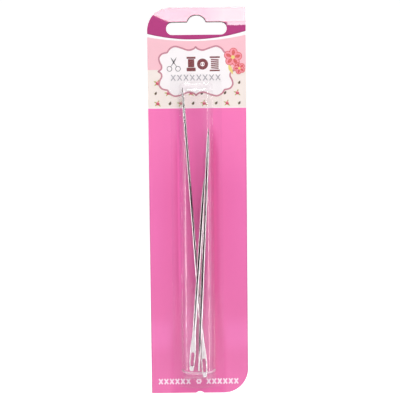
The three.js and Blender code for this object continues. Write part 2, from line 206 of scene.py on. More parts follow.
class Nodes:
    """Short words for making a tree's nodes and joining them."""

    def __init__(self, tree):
        self.tree = tree

    def join(self, socket, value):
        """Links an output, or a node's first one, to a socket, or gives the socket a value."""
        if isinstance(value, bpy.types.Node):
            value = value.outputs[0]
        if isinstance(value, bpy.types.NodeSocket):
            self.tree.links.new(value, socket)
        else:
            socket.default_value = value

    def add(self, kind, inputs=None, **settings):
        node = self.tree.nodes.new(kind)
        for setting, value in settings.items():
            setattr(node, setting, value)
        for socket, value in (inputs or {}).items():
            self.join(node.inputs[socket], value)
        return node

    def math(self, operation, *parts, clamp=False):
        return self.add("ShaderNodeMath", dict(enumerate(parts)),
                        operation=operation, use_clamp=clamp).outputs[0]

    def times(self, first, *others):
        """The product of its parts."""
        for other in others:
            first = self.math("MULTIPLY", first, other)
        return first

    def times_plus(self, a, b, c):
        return self.math("MULTIPLY_ADD", a, b, c)

    def minus(self, a, b):
        return self.math("SUBTRACT", a, b)

    def shift(self, operation, *parts):
        return self.add("ShaderNodeVectorMath", dict(enumerate(parts)), operation=operation).outputs[0]

    def scale(self, place, by):
        return self.add("ShaderNodeVectorMath", {0: place, "Scale": by}, operation="SCALE").outputs[0]

    def split(self, vector):
        return self.add("ShaderNodeSeparateXYZ", {0: vector}).outputs

    def blend(self, share, a, b, how="MIX"):
        return self.add("ShaderNodeMix", {0: share, 6: a, 7: b},
                        data_type="RGBA", blend_type=how).outputs[2]

    def paint(self, colour, *coats):
        """A colour with others laid over it in turn, each by its own mask."""
        for share, coat in coats:
            colour = self.blend(share, colour, coat)
        return colour

    def range(self, value, low, high, start=0.0, end=1.0, how="LINEAR"):
        return self.add("ShaderNodeMapRange", {
            "Value": value, "From Min": low, "From Max": high, "To Min": start, "To Max": end,
        }, interpolation_type=how).outputs[0]

    def noise(self, place, scale, detail=2.0, rough=0.5):
        """A noise, whose scale is one number or one for each axis."""
        if isinstance(scale, tuple):
            place, scale = self.shift("MULTIPLY", place, scale), 1.0
        return self.add("ShaderNodeTexNoise", {
            "Vector": place, "Scale": scale, "Detail": detail, "Roughness": rough,
        }).outputs[0]

    def bump(self, height, distance):
        """A normal from a height; distance is in metres where the height is 1."""
        return self.add("ShaderNodeBump", {
            "Strength": 1.0, "Distance": distance, "Height": height,
        }).outputs[0]

    def use(self, group, **inputs):
        return self.add("ShaderNodeGroup", inputs, node_tree=group).outputs

    def show(self, shader, kind="ShaderNodeOutputMaterial"):
        self.add(kind, {"Surface": shader})


def tint(red, green, blue):
    """A colour from its 8-bit values."""
    def linear(value):
        share = value / 255
        return share / 12.92 if share <= 0.04045 else ((share + 0.055) / 1.055) ** 2.4
    return (linear(red), linear(green), linear(blue), 1.0)


def new_group(name, inputs, outputs, kind="ShaderNodeTree"):
    """A node group, given its inputs and outputs as names with their kinds."""
    tree = bpy.data.node_groups.new(name, kind)
    for in_out, sockets in (("INPUT", inputs), ("OUTPUT", outputs)):
        for word, sort in sockets.items():
            tree.interface.new_socket(name=word, in_out=in_out, socket_type="NodeSocket" + sort)
    nodes = Nodes(tree)
    return tree, nodes, nodes.add("NodeGroupInput").outputs, nodes.add("NodeGroupOutput")


def new_material(name):
    """A material, its nodes, and the place in millimetres from the face, middle and bottom edge."""
    material = bpy.data.materials.new(name)
    material.use_nodes = True
    material.node_tree.nodes.clear()
    nodes = Nodes(material.node_tree)
    place = nodes.scale(nodes.add("ShaderNodeTexCoord").outputs["Object"], 1 / MM)
    return material, nodes, nodes.shift("ADD", place, (0.0, -FACE_Y, -BOTTOM_Z))


def board_grain():
    """Fibres and uneven calender of board: a tone round 1 and a height."""
    tree, nodes, given, out = new_group(
        "board grain", {"Place": "Vector", "Fineness": "Float", "Depth": "Float"},
        {"Tone": "Float", "Height": "Float"})
    scaled = nodes.scale(given["Place"], given["Fineness"])
    fibre = nodes.noise(scaled, (2.2, 2.2, 7.0), 4.0, 0.65)
    cloud = nodes.noise(scaled, 0.35, 3.0, 0.6)
    both = nodes.times_plus(fibre, 0.6, nodes.times(cloud, 0.4))
    tone = nodes.times_plus(nodes.minus(both, 0.5), given["Depth"], 1.0)
    nodes.join(out.inputs["Tone"], tone)
    nodes.join(out.inputs["Height"], both)
    return tree


def edge_wear():
    """Where handling has rubbed an edge: a broken mask from the distance to that edge."""
    tree, nodes, given, out = new_group(
        "edge wear", {"Place": "Vector", "Distance": "Float", "Width": "Float"}, {"Mask": "Float"})
    ragged = nodes.noise(given["Place"], 1.6, 5.0, 0.7)
    reach = nodes.times(given["Width"], nodes.range(ragged, 0.35, 0.75, 0.1, 1.6))
    left = nodes.minus(reach, given["Distance"])
    nodes.join(out.inputs["Mask"], nodes.math("DIVIDE", left, given["Width"], clamp=True))
    return tree


def fine_scuffs():
    """Hairlines and specks from sliding in a box: a mask, mostly along the height."""
    tree, nodes, given, out = new_group(
        "fine scuffs", {"Place": "Vector", "Amount": "Float"}, {"Mask": "Float"})
    bent = nodes.noise(given["Place"], 0.12, 1.0)
    along = nodes.shift("MULTIPLY_ADD", given["Place"], (5.0, 5.0, 0.22), bent)
    hair = nodes.range(nodes.noise(along, 1.0, 3.0, 0.6), 0.66, 0.74)
    patch = nodes.range(nodes.noise(given["Place"], 0.16), 0.5, 0.66)
    speck = nodes.range(nodes.noise(given["Place"], 2.6, 1.0), 0.76, 0.8)
    marks = nodes.math("MAXIMUM", nodes.times(hair, patch), speck)
    nodes.join(out.inputs["Mask"], nodes.math("MULTIPLY", marks, given["Amount"], clamp=True))
    return tree


GRAIN = board_grain()
WEAR = edge_wear()
SCUFFS = fine_scuffs()


def lacquered(nodes, place, colour, worn=None):
    """Ends a print's tree: the board's grain shows in the ink, and a gloss lacquer lies over it."""
    grain = nodes.use(GRAIN, Place=place, Fineness=1.0, Depth=0.09)
    scuffs = nodes.use(SCUFFS, Place=place, Amount=0.5)["Mask"]
    toned = nodes.blend(1.0, colour, grain["Tone"], "MULTIPLY")
    if worn is not None:
        toned = nodes.blend(worn, toned, tint(246, 240, 240))
    waves = nodes.times_plus(grain["Height"], 0.02, nodes.noise(place, 0.11))
    nodes.show(nodes.add("ShaderNodeBsdfPrincipled", {
        "Base Color": toned,
        "Roughness": nodes.times_plus(scuffs, 0.25, 0.36),
        "Coat Weight": nodes.range(scuffs, 0.0, 1.0, 0.8, 0.3),
        "Coat Roughness": 0.2,
        "Normal": nodes.bump(waves, 0.00009),
    }))


def print_material():
    """The card's face: tinted bands under an arc, and the plain field.

    Bands of tone in the field round the blister's foot are painted light and shade, and the darker line
    along the board's long edges is painted shade."""
    material, nodes, place = new_material("lacquered_print")
    across, _, height = nodes.split(place)
    square = nodes.times(across, across)

    def arc(level, slope, bend):
        """Height of a bowed line that crosses the board's middle at a level."""
        return nodes.times_plus(square, bend, nodes.times_plus(across, slope, level))

    def above(line, softness=0.08):
        return nodes.range(nodes.minus(height, line), -softness / 2, softness / 2)

    def rise(low, high, how="LINEAR"):
        """0 at one height and 1 at another."""
        return nodes.range(height, low, high, how=how)

    def beyond(value, middle, half=0.0):
        """How far a value lies outside a stretch."""
        away = nodes.math("ABSOLUTE", nodes.minus(value, middle))
        return nodes.math("MAXIMUM", nodes.minus(away, half), 0.0)

    def stripe(middle, inner, outer):
        """1 near a place across the board, 0 beyond the outer distance from it."""
        return nodes.range(beyond(across, middle), inner, outer, 1.0, 0.0, SOFT)

    foot = DOME_HALF_WIDTH - FOOT_CENTRE_INSET
    aside = beyond(across, DOME_MIDDLE, foot)
    past_end = beyond(height, DOME_CENTRE, DOME_HALF_HEIGHT - FOOT_CENTRE_INSET)
    from_foot = nodes.math("SQRT", nodes.times_plus(aside, aside, nodes.times(past_end, past_end)))
    side = nodes.minus(CARD_HALF, nodes.math("ABSOLUTE", across))

    # Painted shade: a darker band on the field beside the dome's foot, fading outwards, lower down only
    spread = nodes.times(from_foot, nodes.range(height, 30.0, 55.0, 0.62, 1.0))
    dome_foot_shade = nodes.times(nodes.range(spread, 1.6, 3.9, 1.0, 0.0, SOFT),
                         nodes.range(from_foot, 0.4, 1.3), rise(142.0, 122.0, SOFT))
    dome_foot_shade_tint = nodes.blend(nodes.range(across, -4.0, 0.0, 1.0, 0.0),
                            tint(227, 91, 158), tint(236, 98, 167))
    pale = nodes.times(nodes.range(beyond(height, 31.0), 2.0, 12.0, 1.0, 0.0, SOFT),
                       nodes.range(aside, 2.0, 8.0))
    # Painted shade: darker near the dome low down
    low_dome_shade = nodes.times(rise(34.0, 14.0), nodes.range(aside, 7.0, 3.0))
    # Painted light: a lighter line along the dome's left foot
    left_foot_light = nodes.times(stripe(DOME_MIDDLE - foot, 1.0, 1.6), rise(42.0, 66.0), rise(150.0, 145.0))
    # Painted light: a lighter stretch of print inside the dome's lower left
    left_dome_light = nodes.times(stripe(-6.2, 1.2, 2.8), rise(48.0, 38.0), rise(13.0, 19.0))
    # Painted shade: a darker line along the dome's right foot
    right_foot_shade = nodes.times(stripe(DOME_MIDDLE + foot, 0.9, 1.6), rise(142.0, 130.0), rise(8.0, 12.0))
    # Painted shade: darker along the board's long edges, low down
    rim = nodes.times(nodes.range(side, 0.15, 0.5, 0.85, 0.0), rise(140.0, 100.0))

    # The field is darker towards the bottom; near the dome it is darker still, a painted shade
    low = rise(143.0, 100.0, SOFT)
    near = nodes.blend(low, tint(248, 122, 187), tint(238, 110, 176))
    far = nodes.blend(low, tint(250, 125, 188), tint(243, 117, 184))
    pink = nodes.paint(
        nodes.blend(nodes.range(aside, 5.0, 16.0), near, far),
        (rise(85.0, 45.0), tint(237, 110, 175)),
        (pale, tint(243, 119, 186)),
        (dome_foot_shade, dome_foot_shade_tint),
        (low_dome_shade, tint(231, 94, 165)),
        (left_foot_light, tint(255, 114, 191)),
        (left_dome_light, tint(255, 127, 196)),
        (right_foot_shade, tint(230, 91, 158)),
        (rim, tint(196, 92, 146)),
    )

    # The dark header, the strip above the crease, and a pale patch at the crease's right end that is
    # painted glare
    upper_arc = arc(*HEADER_ARC)
    corner = nodes.math("MAXIMUM", nodes.minus(CREASE_TURN, across), 0.0)
    climb = nodes.math("DIVIDE", nodes.times(corner, corner, CREASE_SLOPE),
                       nodes.math("ADD", corner, CREASE_EASE))
    over_crease = nodes.minus(nodes.minus(height, CREASE_HEIGHT), climb)
    # Painted glare: the strip's ink is lighter towards the right
    strip = nodes.blend(nodes.range(across, 4.0, 14.0), tint(182, 50, 108), tint(204, 98, 122))
    ragged = nodes.range(nodes.noise(place, 1.1, 3.0, 0.7), 0.3, 0.7, 0.7, 1.25)
    below = nodes.minus(CREASE_HEIGHT - 0.5, height)
    # Painted glare: a pale pink patch at the crease's right end, with a ragged edge
    right_crease_glare = nodes.times(nodes.range(nodes.minus(ragged, below), -0.12, 0.12),
                          nodes.range(below, -0.8, -0.4), nodes.range(across, 15.4, 16.4))
    header = nodes.paint(
        tint(150, 40, 104),
        (nodes.range(nodes.minus(height, upper_arc), 0.0, 0.7), tint(181, 62, 127)),
        (nodes.range(over_crease, -0.3, 0.5), strip),
        (right_crease_glare, tint(252, 218, 234)),
    )
    # The cream is lighter under the dome: painted light against the film's shade
    cream = nodes.blend(nodes.range(from_foot, 0.0, 0.6, 1.0, 0.0),
                        tint(245, 233, 227), tint(254, 239, 236))
    colour = nodes.paint(
        pink,
        (above(PALE_LOW, 0.3), tint(252, 244, 246)),
        (above(CREAM_LOW, 0.4), cream),
        (above(ROSE_LOW), tint(248, 196, 207)),
        (above(arc(*WHITE_ARC)), tint(252, 251, 251)),
        (above(upper_arc), header),
    )
    from_edge = nodes.math("MINIMUM", side, height)
    worn = nodes.use(WEAR, Place=place, Distance=from_edge, Width=0.1)["Mask"]
    lacquered(nodes, place, colour, worn)
    return material


def ink(name, shade):
    """A single ink, which lets a little of the white board through."""
    material, nodes, place = new_material(name)
    colour = tint(*shade)
    thin = tuple(mix(part, 1.0, 0.16) for part in colour)
    tone = nodes.noise(place, 1.9, 3.0, 0.7)
    lacquered(nodes, place, nodes.blend(nodes.range(tone, 0.4, 0.75), colour, thin))
    return material


def bare_board(name, colour, flecks, fineness, along):
    """Unprinted board: its back, or the fibres of a cut edge."""
    material, nodes, place = new_material(name)
    stretched = nodes.shift("MULTIPLY", place, along)
    grain = nodes.use(GRAIN, Place=stretched, Fineness=fineness, Depth=0.34)
    fleck = nodes.range(nodes.noise(stretched, 3.4 * fineness, 2.0, 0.7), 0.68, 0.78, 0.0, 0.5)
    toned = nodes.blend(1.0, colour, grain["Tone"], "MULTIPLY")
    nodes.show(nodes.add("ShaderNodeBsdfPrincipled", {
        "Base Color": nodes.blend(fleck, toned, flecks),
        "Roughness": nodes.range(grain["Height"], 0.3, 0.7, 0.75, 0.92),
        "Normal": nodes.bump(grain["Height"], 0.00003),
    }))
    return material


def film_material():
    """Thin clear film: it mirrors more at a slant and is hazy where drawn; low down its pink tint is
    painted shade and its milky veil a painted reflection, and a milky band at its lower end is a painted
    highlight.
    """
    material, nodes, place = new_material("clear_film")
    height = nodes.split(place)[2]
    drawn, sealed = (nodes.add("ShaderNodeAttribute", attribute_name=mark).outputs["Fac"]
                     for mark in ("drawn", "sealed"))
    free = nodes.minus(1.0, sealed)
    waves = nodes.noise(place, (0.5, 0.5, 0.09))
    ripples = nodes.noise(place, (1.1, 1.1, 0.35))
    bump = nodes.bump(nodes.times_plus(ripples, 0.25, waves), 0.00012)
    scuffs = nodes.use(SCUFFS, Place=place, Amount=1.0)["Mask"]
    # Painted shade: the free film is tinted pink low down, darkening the print inside the lower dome
    low = nodes.times(nodes.range(height, 152.0, 112.0, how=SOFT), free)
    clear = nodes.add("ShaderNodeBsdfTransparent", {"Color": nodes.paint(
        (0.99, 0.987, 0.989, 1.0),
        (low, (0.988, 0.972, 0.982, 1.0)),
        (sealed, (0.997, 0.997, 0.997, 1.0)),
    )})
    mirror = nodes.add("ShaderNodeBsdfPrincipled", {
        "Base Color": WHITE,
        "Metallic": 1.0,
        "Roughness": nodes.times_plus(scuffs, 0.3, 0.07),
        "Normal": bump,
    })
    milky = nodes.add("ShaderNodeBsdfPrincipled", {
        "Base Color": (0.95, 0.8, 0.88, 1.0),
        "Roughness": 0.5,
        "Normal": bump,
    })
    cloud = nodes.noise(place, (0.4, 0.4, 0.08), 3.0)
    # Painted highlight: a milky band across the dome's lower end
    end_highlight_haze = nodes.times(nodes.range(height, 13.0, 12.6), nodes.range(height, 11.0, 12.2),
                          nodes.range(drawn, 0.2, 0.35))
    haze = nodes.times_plus(drawn, nodes.range(cloud, 0.3, 0.7, 0.01, 0.045), 0.002)
    haze = nodes.times_plus(end_highlight_haze, 0.27, haze)
    # Painted reflection: a milky veil low down on the free film
    haze = nodes.times_plus(free, nodes.range(height, 46.0, 30.0, 0.0, 0.018), haze)
    inside = nodes.add("ShaderNodeNewGeometry").outputs["Backfacing"]
    bend = nodes.range(inside, 0.0, 1.0, FILM_IOR, 1 / FILM_IOR)
    slant = nodes.add("ShaderNodeFresnel", {"IOR": bend, "Normal": bump})
    glance = nodes.times(nodes.range(slant, 0.04, 1.0, 0.035, 1.0),
                         nodes.range(sealed, 0.0, 1.0, 1.0, 0.3))
    glossy = nodes.add("ShaderNodeMixShader", {0: glance, 1: clear, 2: mirror})
    nodes.show(nodes.add("ShaderNodeMixShader", {0: haze, 1: glossy, 2: milky}))
    return material


def steel_material():
    """Nickelled steel, drawn and polished along its length."""
    material, nodes, place = new_material("nickelled_steel")
    streak = nodes.noise(place, (9.0, 9.0, 0.35), 3.0, 0.6)
    cloud = nodes.range(nodes.noise(place, 0.3), 0.3, 0.7)
    scuffs = nodes.use(SCUFFS, Place=place, Amount=0.8)["Mask"]
    nodes.show(nodes.add("ShaderNodeBsdfPrincipled", {
        "Base Color": nodes.blend(cloud, (0.68, 0.67, 0.665, 1.0), (0.76, 0.75, 0.745, 1.0)),
        "Metallic": 1.0,
        "Roughness": nodes.times_plus(scuffs, 0.2, nodes.range(streak, 0.3, 0.7, 0.04, 0.09)),
        "Normal": nodes.bump(streak, 0.0000015),
    }))
    return material


PRINT = print_material()
CORE = bare_board("board_core", tint(238, 234, 232), tint(176, 170, 166), 2.2, (1.0, 3.0, 1.0))
BACK = bare_board("unprinted_back", tint(226, 222, 214), tint(186, 178, 166), 1.0, (1.0, 1.0, 0.5))
# Dark board for the ribbon of painted shade along the slot's cut edge
DARK_EDGE = bare_board("cut_edge_in_shade", tint(64, 42, 56), tint(100, 74, 90), 2.2, (1.0, 1.0, 1.0))
CLEAR_FILM = film_material()
STEEL = steel_material()
INK = {name: ink(name, shade) for name, shade in {
    "label_white": (250, 244, 246),
    "dusty_rose_ink": (200, 128, 146),
    "sprig_red_ink": (205, 66, 92),
    "sprig_rose_ink": (236, 140, 156),
    "sprig_leaf_ink": (178, 172, 84),
    "bud_ink": (86, 58, 40),
    "wine_ink": (122, 40, 48),
    "grey_ink": (172, 166, 174),
    "line_ink": (96, 88, 92),
    "coral_ink": (222, 88, 86),
    "blossom_pink_ink": (244, 148, 164),
    "yellow_ink": (238, 214, 120),
    "flange_shadow_ink": (224, 90, 154),
    "pale_pink_ink": (255, 222, 240),
}.items()}


# Flat patterns

LIFT = 0.004
LAYER = 0.02
UNDERSIDE = -0.01


class Flat:
    """A flat pattern on the board: points (across, height, lift) and the faces between them.

    Shapes that cross each other have different lifts, so that no two faces share a plane."""

    def __init__(self):
        self.points = []
        self.faces = []
        self.found = {}
        self.lift = 0

    def raised(self):
        self.lift += LIFT
        return self

    def corner(self, point):
        key = (round(point[0] * 1e4), round(point[1] * 1e4), self.lift)
        if key not in self.found:
            self.found[key] = len(self.points)
            self.points.append((point[0], point[1], self.lift))
        return self.found[key]

    def face(self, *corners):
        turned = list(dict.fromkeys(map(self.corner, corners)))
        if len(turned) > 2:
            self.faces.append(turned)

    def fan(self, outline):
        """A star-shaped outline filled from its middle."""
        middle = tuple(sum(values) / len(outline) for values in zip(*outline))
        for point, after in zip(outline, outline[1:] + outline[:1]):
            self.face(middle, point, after)
        return self

    def ribbon(self, path, widths, closed=False):
        """A band along a path, with a half width at each of its points."""
        rails = []
        count = len(path)
        for index, (x, z) in enumerate(path):
            before = path[(index - 1) % count] if closed else path[max(index - 1, 0)]
            after = path[(index + 1) % count] if closed else path[min(index + 1, count - 1)]
            way = Vector((after[0] - before[0], after[1] - before[1])).normalized()
            way *= widths[index] if isinstance(widths, list) else widths
            rails.append(((x - way.y, z + way.x), (x + way.y, z - way.x)))
        self.strips(rails + rails[:1] if closed else rails)
        return self

    def strips(self, rails):
        """Faces between neighbouring rows of equally many points."""
        for low, high in zip(rails, rails[1:]):
            for index in range(len(low) - 1):
                self.face(low[index], low[index + 1], high[index + 1], high[index])
        return self


def thicken(flat, place, near, far):
    """Points, faces and kinds of a flat pattern given a thickness: 0 face, 1 cut edge, 2 back."""
    count = len(flat.points)
    points = [place(x, z, depth + lift)
              for depth in (near, (near + far) / 2, far) for x, z, lift in flat.points]
    sides = dict.fromkeys(side for corners in flat.faces
                          for side in zip(corners, corners[1:] + corners[:1]))
    faces = [list(corners) for corners in flat.faces]
    kinds = [0] * len(faces)
    for start, end in sides:
        if (end, start) not in sides:
            for level in (0, count):
                faces.append([start + level, start + level + count, end + level + count, end + level])
                kinds.append(1)
    for corners in flat.faces:
        faces.append([index + 2 * count for index in reversed(corners)])
        kinds.append(2)
    return points, faces, kinds


# Board

def on_board(across, height, depth):
    """Where a point of the board's flat pattern lies once its top is creased back.

    The crease runs up towards the round corner at the left."""
    outer = CREASE_RADIUS + CARD_THICKNESS
    left = max(CREASE_TURN - across, 0)
    start = CREASE_START + CREASE_SLOPE * left * left / (left + CREASE_EASE)
    past = height - start
    if past <= 0:
        return spot(across, -depth, height)
    bend = min(past / outer, STRIP_TILT)
    rest = max(past - outer * STRIP_TILT, 0)
    back = outer - (outer - depth) * cos(bend) + rest * sin(STRIP_TILT)
    up = start + (outer - depth) * sin(bend) + rest * cos(STRIP_TILT)
    return spot(across, -back, up)


def board_reach(height, side):
    """How far the board reaches to one side; two of its corners are round."""
    past = CARD_CORNER - height if side > 0 else height - (CARD_LENGTH - CARD_CORNER)
    return CARD_HALF - CARD_CORNER + half_round(CARD_CORNER, max(past, 0))


def board_flat():
    """The board's flat pattern, in rows that leave out the nick and the slot."""
    turns = [turn * pi / 2 for turn in steps(0, 1, 14)]
    hump_start = asin((CREASE_HEIGHT - HUMP_CENTRE) / HUMP_RADIUS)
    slot_low = CREASE_HEIGHT - SLOT_HEIGHT
    below = steps(0, NICK_DEPTH, 6) + steps(CARD_CORNER, slot_low, 40)
    below += [CARD_CORNER * (1 - cos(turn)) for turn in turns]
    inside = [SLOT_MIDDLE - SLOT_END * cos(turn) for turn in steps(0, pi, 24)]
    above = [HUMP_CENTRE + HUMP_RADIUS * sin(turn) for turn in steps(hump_start, pi / 2, 16)]
    above += [CARD_LENGTH - CARD_CORNER + CARD_CORNER * sin(turn) for turn in turns]
    above += steps(CREASE_HEIGHT, CARD_LENGTH, 44)
    above = [height for height in above if height >= CREASE_HEIGHT]
    flat = Flat()
    for heights in (below, inside, above):
        for side in (-1, 1):
            rows = []
            for height in spaced(heights, 1e-3):
                start = SLOT_STRAIGHT + half_round(SLOT_END, height - SLOT_MIDDLE)
                row = steps(start, board_reach(height, side), 10)
                if heights is not inside:
                    hollow = max(half_round(NICK_RADIUS, height - NICK_DEPTH + NICK_RADIUS),
                                 half_round(HUMP_RADIUS, height - HUMP_CENTRE))
                    row = steps(hollow, SLOT_STRAIGHT, 12)[:-1] + row
                rows.append([(side * x, height) for x in row][::side])
            flat.strips(rows)
    return flat


points, faces, kinds = thicken(board_flat(), on_board, 0.0, CARD_THICKNESS)
board = make_piece("die_cut_board", points, faces, [PRINT, CORE, BACK], kinds, sharp=50)
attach(board, "pack")
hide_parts("backing_card")


# Print on the board

def on_face(x, z, depth):
    return spot(x, depth, z)


def on_creased_face(x, z, depth):
    return on_board(x, z, -depth)


def slab(name, flat, material, layer, place):
    """A shape in ink: a thin slab that stands out of the board's face by its layer."""
    points, faces, _ = thicken(flat, place, layer * LAYER, UNDERSIDE)
    return make_piece(name, points, faces, [material], sharp=50)


def printed(name, flat, material, layer, place=on_face):
    """An ink shape that goes with the board."""
    piece = slab(name, flat, material, layer, place)
    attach(piece, "pack")


def curve(points, count=6):
    """A smooth path through points."""
    path = []
    last = len(points) - 1
    for index in range(last):
        a, b, c, d = (Vector(points[min(max(index + offset, 0), last)]) for offset in (-1, 0, 1, 2))
        for t in steps(0, 1, count)[:-1]:
            place = 0.5 * (2 * b + (c - a) * t + (2 * a - 5 * b + 4 * c - d) * t ** 2
                           + (3 * b - 3 * c + d - a) * t ** 3)
            path.append((place.x, place.y))
    return path + [tuple(points[-1])]


def ring(x, z, radius, count=24, start=0.0, end=360.0):
    """Points round a circle, or along an arc of it."""
    angles = [radians(angle) for angle in steps(start, end, count)]
    if end - start >= 360:
        angles.pop()
    return [(x + radius * cos(angle), z + radius * sin(angle)) for angle in angles]


def leaf(flat, x, z, angle, length, width):
    """A pointed leaf that grows from a place at an angle."""
    way = Vector((cos(radians(angle)), sin(radians(angle))))
    shares = steps(0, 1, 8)
    path = [(x + way.x * length * share, z + way.y * length * share) for share in shares]
    widths = [max(width / 2 * sin(pi * share ** 0.8), 0.015) for share in shares]
    return flat.ribbon(path, widths)


# Painted shade: a dark ribbon along the slot's top, where its cut edge faces down into shade
RIM_HALF = 0.25
RIM_RADIUS = SLOT_END + RIM_HALF
hump_edge = CREASE_HEIGHT - HUMP_CENTRE + RIM_HALF
hump_turn = degrees(asin(hump_edge / (HUMP_RADIUS + RIM_HALF)))
path = ring(-SLOT_STRAIGHT, SLOT_MIDDLE, RIM_RADIUS, 12, 148, 90)
path += ring(0, HUMP_CENTRE, HUMP_RADIUS + RIM_HALF, 24, 180 - hump_turn, hump_turn)
path += ring(SLOT_STRAIGHT, SLOT_MIDDLE, RIM_RADIUS, 12, 90, 22)
widths = [RIM_HALF * min(1, 0.15 + step / 6, 0.15 + (len(path) - 1 - step) / 6)
          for step in range(len(path))]
printed("slot_pressed_rim", Flat().ribbon(path, widths), DARK_EDGE, 1, on_creased_face)

# The label: a plaque with a scalloped outline, the same in all four quarters
LABEL_AT = (-0.5, 169.0)
QUARTER = [(0, 12.5), (1.2, 11.4), (3.8, 10.8), (7.2, 11.9), (10.6, 12.8), (13.2, 11.7), (14.7, 9.7)]
FLANK = [(14.7, 9.7), (17.6, 8.9), (19.0, 6.9), (18.6, 4.6), (17.7, 2.9), (17.9, 1.2), (19.4, 0)]

quarter = curve(QUARTER)[:-1] + curve(FLANK)
half = quarter + [(x, -z) for x, z in quarter[-2:0:-1]]
outline = [(LABEL_AT[0] + x * side, LABEL_AT[1] + z * side) for side in (1, -1) for x, z in half]
printed("label_plaque", Flat().fan(outline), INK["label_white"], 2)
printed("label_border", Flat().ribbon(outline, 0.42, closed=True), INK["dusty_rose_ink"], 3)

# A row of a spool, a button and a bobbin
notions = Flat()
for low, high, wide in ((175.4, 176.4, 2.3), (171.0, 175.2, 1.6), (169.0, 170.8, 2.3)):
    notions.fan([(-2.9 - wide, low), (-2.9 + wide, low), (-2.9 + wide, high), (-2.9 - wide, high)])
notions.ribbon(ring(3.0, 172.6, 2.0, 28), 0.85, closed=True)
for hole in (-0.55, 0.55):
    notions.fan(ring(3.0 + hole, 172.6, 0.34, 10))
notions.ribbon([(6.7, 176.1), (11.9, 176.1)], 0.4)
for step in range(5):
    notions.ribbon([(7.3, 174.9 - step * 1.05), (11.3, 174.6 - step * 1.05)], 0.34)
notions.ribbon([(6.7, 169.3), (11.9, 169.3)], 0.4)
printed("label_notions", notions, INK["wine_ink"], 3)

# Fine line drawing: a pair of snips, whose blades cross
snips = Flat()
BLADE = [0.14] * 6 + [0.3] * 4 + [0.2, 0.12, 0.04]
for x in (-14.1, -9.7):
    snips.ribbon(ring(x, 170.3, 1.25, 20), 0.16, closed=True)
for low, middle, high in ((-13.4, -12.2, -10.4), (-10.4, -11.6, -13.4)):
    snips.ribbon(curve([(low, 171.4), (middle, 173.2), (high, 176.2)]), BLADE)
printed("label_snips", snips, INK["line_ink"], 3)

# A blossom and its bud
hearts = Flat()
petals = Flat()
middles = Flat()
for x, z, size, turn in ((18.7, 176.0, 1.24, 12), (22.0, 170.3, 0.8, 40)):
    def out(angle, distance):
        return (x + cos(angle) * distance * size, z + sin(angle) * distance * size)
    for petal in range(5):
        lean = turn + petal * 72
        angle = radians(lean)
        petals.fan(ring(*out(angle, 2.15), 1.75 * size, 18)).raised()
        hearts.ribbon(ring(*out(angle, 2.15), 1.6 * size, 18, lean - 100, lean + 100), 0.16).raised()
        hearts.ribbon([out(angle, distance) for distance in (0.8, 2.0, 3.1)],
                      [0.3 * size, 0.75 * size, 0.3 * size]).raised()
    middles.fan(ring(x, z, 0.8 * size, 16)).raised()
leaf(middles, 16.4, 172.2, -66, 5.6, 1.8)
printed("posy_petals", petals, INK["blossom_pink_ink"], 4)
printed("posy_hearts", hearts, INK["coral_ink"], 5)
printed("posy_middles", middles, INK["yellow_ink"], 6)


# Repeated motifs

def repeat_tree():
    """Sets out a motif in rows on the board, every other row moved along by a drop."""
    tree, nodes, given, out = new_group("half drop repeat", {
        "Geometry": "Geometry", "Motif": "Object", "Columns": "Int", "Rows": "Int",
        "Pitch": "Float", "Row height": "Float", "Drop": "Float", "Start": "Vector",
        "Turn": "Float", "Change": "Float", "Reach": "Float", "Finish": "Material",
    }, {"Geometry": "Geometry"}, "GeometryNodeTree")
    wide = nodes.times(nodes.minus(given["Columns"], 1.0), given["Pitch"])
    tall = nodes.times(nodes.minus(given["Rows"], 1.0), given["Row height"])
    grid = nodes.add("GeometryNodeMeshGrid", {
        "Size X": wide, "Size Y": tall, "Vertices X": given["Columns"], "Vertices Y": given["Rows"],
    })
    x, y, _ = nodes.split(nodes.add("GeometryNodeInputPosition"))
    from_left = nodes.times_plus(wide, 0.5, x)
    from_low = nodes.times_plus(tall, 0.5, y)
    row = nodes.math("ROUND", nodes.math("DIVIDE", from_low, given["Row height"]))
    dropped = nodes.times_plus(nodes.math("MODULO", row, 2.0), given["Drop"], from_left)
    upright = nodes.add("ShaderNodeCombineXYZ", {0: dropped, 2: from_low})
    laid = nodes.add("GeometryNodeSetPosition", {
        "Geometry": grid, "Position": nodes.shift("ADD", upright, given["Start"]),
    })

    def chance(seed, least, most):
        return nodes.add("FunctionNodeRandomValue", {"Seed": seed, 2: least, 3: most},
                         data_type="FLOAT").outputs[1]

    turn = chance(4, nodes.times(given["Turn"], -1.0), given["Turn"])
    size = chance(9, nodes.minus(1.0, given["Change"]), nodes.math("ADD", 1.0, given["Change"]))
    here = nodes.split(nodes.add("GeometryNodeInputPosition"))[0]
    inside = nodes.add("FunctionNodeCompare", {0: nodes.math("ABSOLUTE", here), 1: given["Reach"]},
                       data_type="FLOAT", operation="LESS_THAN")
    motif = nodes.add("GeometryNodeObjectInfo", {"Object": given["Motif"]})
    set_out = nodes.add("GeometryNodeInstanceOnPoints", {
        "Points": laid, "Selection": inside, "Instance": motif.outputs["Geometry"],
        "Rotation": nodes.add("ShaderNodeCombineXYZ", {1: turn}), "Scale": size,
    })
    real = nodes.add("GeometryNodeRealizeInstances", {"Geometry": set_out})
    nodes.join(out.inputs[0], nodes.add("GeometryNodeSetMaterial", {
        "Geometry": real, "Material": given["Finish"],
    }))
    return tree


REPEAT = repeat_tree()


